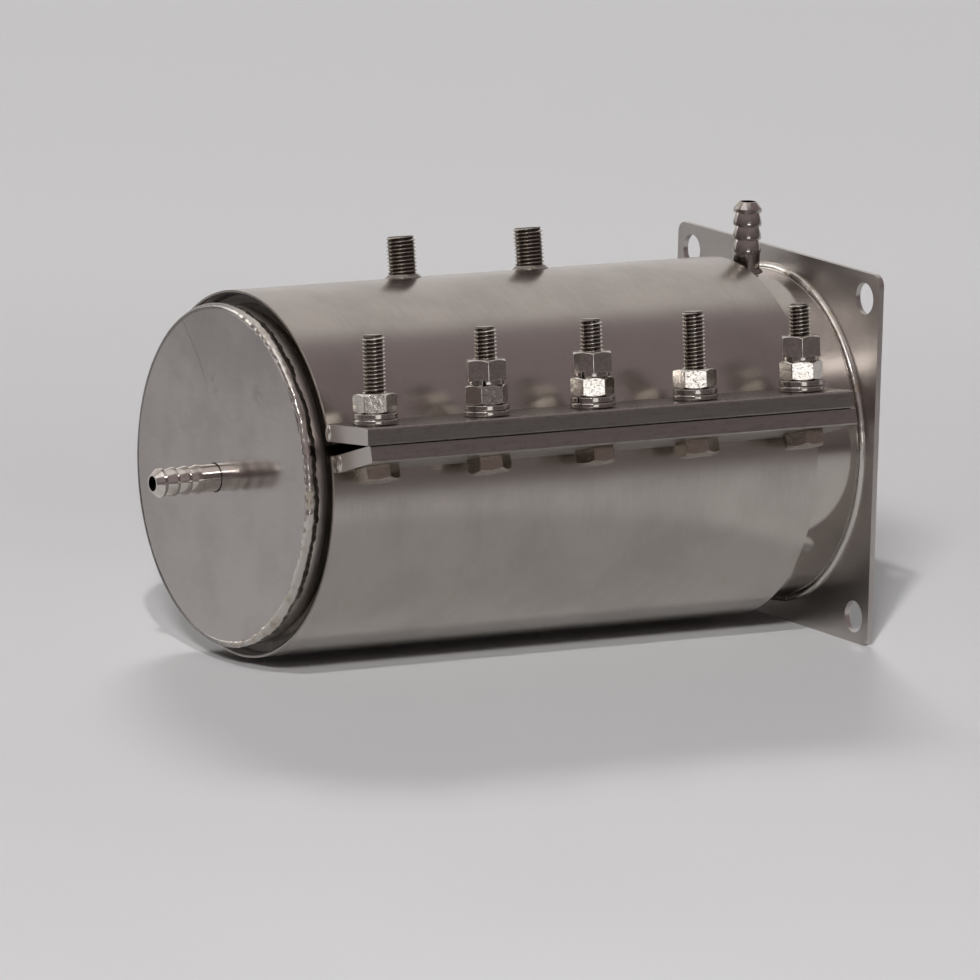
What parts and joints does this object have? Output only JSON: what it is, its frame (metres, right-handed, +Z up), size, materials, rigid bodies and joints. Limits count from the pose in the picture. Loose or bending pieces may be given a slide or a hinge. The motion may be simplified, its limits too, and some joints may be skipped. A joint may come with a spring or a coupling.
{
  "type": "hydrogen electrolyzer cell",
  "caption": "Stainless steel cylindrical electrolyzer cell with a square mounting flange, a clamped jacket, hose barbs, pipe nipples and terminal bolts.",
  "frame": {"origin": "centre of the square flange's rear face, on the vessel's axis", "axes": "+X along the vessel's axis out of its open flanged end, +Z up towards the pipe nipples and the neck's hose barb, -Y towards the clamp bars"},
  "size_m": [0.1913, 0.1148, 0.1132],
  "materials": {
    "vessel_steel": "satin",
    "disc_steel": "satin",
    "plate_steel": "satin",
    "jacket_steel": "satin",
    "bar_steel": "satin",
    "weld_metal": "rough",
    "fitting_steel": "satin",
    "bolt_steel": "satin",
    "washer_steel": "satin",
    "nut_steel": "satin",
    "electrode_steel": "satin",
    "liner_rubber": "matte",
    "spacer_plastic": "matte"
  },
  "bodies": {
    "root": {"vessel_tube": "vessel_steel", "front_end_disc": "disc_steel", "rim_weld_bead": "weld_metal", "front_hose_barb": "fitting_steel", "square_flange": "plate_steel", "neck_weld_bead": "weld_metal", "neck_hose_barb": "fitting_steel", "neck_barb_weld": "weld_metal", "jacket_shell": "jacket_steel", "jacket_liner": "liner_rubber", "upper_clamp_bar": "bar_steel", "lower_clamp_bar": "bar_steel", "bar_end_welds": "weld_metal", "threaded_nipple_1": "fitting_steel", "nipple_weld_1": "weld_metal", "threaded_nipple_2": "fitting_steel", "nipple_weld_2": "weld_metal", "clamp_bolt_1": "bolt_steel", "flat_washer_1": "washer_steel", "spring_washer_1": "washer_steel", "clamp_nut_1": "nut_steel", "clamp_bolt_2": "bolt_steel", "flat_washer_2": "washer_steel", "spring_washer_2": "washer_steel", "clamp_nut_2": "nut_steel", "terminal_washer_2": "washer_steel", "terminal_nut_2": "nut_steel", "clamp_bolt_3": "bolt_steel", "flat_washer_3": "washer_steel", "spring_washer_3": "washer_steel", "clamp_nut_3": "nut_steel", "terminal_washer_3": "washer_steel", "terminal_nut_3": "nut_steel", "clamp_bolt_4": "bolt_steel", "flat_washer_4": "washer_steel", "spring_washer_4": "washer_steel", "clamp_nut_4": "nut_steel", "clamp_bolt_5": "bolt_steel", "flat_washer_5": "washer_steel", "spring_washer_5": "washer_steel", "clamp_nut_5": "nut_steel", "terminal_washer_5": "washer_steel", "terminal_nut_5": "nut_steel", "inner_electrode": "electrode_steel", "front_spacer": "spacer_plastic", "rear_spacer": "spacer_plastic"}
  },
  "joints": []
}
